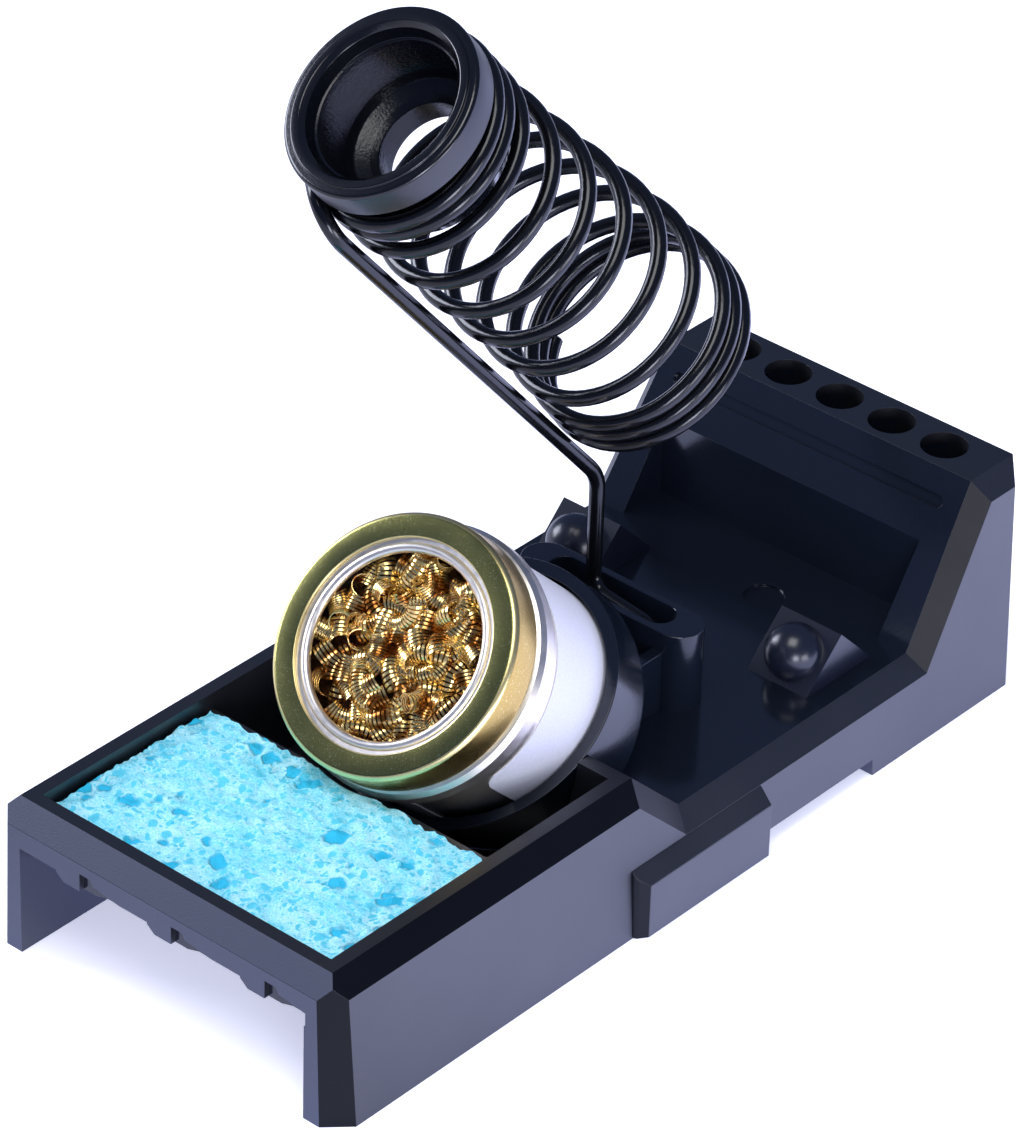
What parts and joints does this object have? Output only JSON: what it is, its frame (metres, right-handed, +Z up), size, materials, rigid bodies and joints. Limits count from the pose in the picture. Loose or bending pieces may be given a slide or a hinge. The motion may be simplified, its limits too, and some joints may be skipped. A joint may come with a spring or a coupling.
{
  "type": "soldering iron station",
  "caption": "soldering iron station with sponge tray, brass wool tin in a round cup, wire coil iron holder and tip rack",
  "frame": {"origin": "middle of the footprint on the table", "axes": "+Z up, +Y towards the tip rack at the back, +X to the right seen from the front"},
  "size_m": [0.0846, 0.183, 0.1585],
  "materials": {
    "base_plastic": "moulded black plastic, satin with a fine grain on the edge bands",
    "funnel_plastic": "polished black bakelite",
    "wire_paint": "glossy black coated steel wire",
    "lid_brass": "gold lacquered tinplate with a soft brushed grain",
    "tin_plate": "bright tinplate",
    "wool_brass": "curled brass shavings",
    "label_paper": "blank white paper band",
    "sponge_cellulose": "cyan cellulose sponge with open pores"
  },
  "bodies": {
    "base": {"base_shell": "base_plastic", "side_foot_left": "base_plastic", "side_foot_right": "base_plastic", "tip_wells": "base_plastic", "tin_cup": "base_plastic", "holder_post": "base_plastic", "post_webs": "base_plastic", "rest_block_left": "base_plastic", "rest_block_right": "base_plastic"},
    "sponge_pad": {"sponge": "sponge_cellulose"},
    "tin": {"tin_can": "tin_plate", "tin_label": "label_paper", "brass_wool": "wool_brass"},
    "lid": {"tin_lid": "lid_brass", "tin_inner_ring": "tin_plate"},
    "wire_holder": {"holder_leg": "wire_paint", "holder_arm": "wire_paint", "holder_crook": "wire_paint", "coil_front": "wire_paint", "coil_open": "wire_paint", "coil_rear": "wire_paint", "funnel": "funnel_plastic"}
  },
  "joints": [
    {"name": "sponge_tip_up", "type": "hinge", "parent": "base", "child": "sponge_pad", "pos_m": [0, -0.0459, 0.026], "axis": [-1, 0, 0], "range_deg": [0, 30]},
    {"name": "tin_out", "type": "slide", "parent": "base", "child": "tin", "axis": [0, -0.7254, 0.6884], "range_m": [0, 0.03]},
    {"name": "lid_off", "type": "slide", "parent": "tin", "child": "lid", "axis": [0, -0.7254, 0.6884], "range_m": [0, 0.012]},
    {"name": "holder_out", "type": "slide", "parent": "base", "child": "wire_holder", "axis": [0, 0, 1], "range_m": [0, 0.03]}
  ]
}
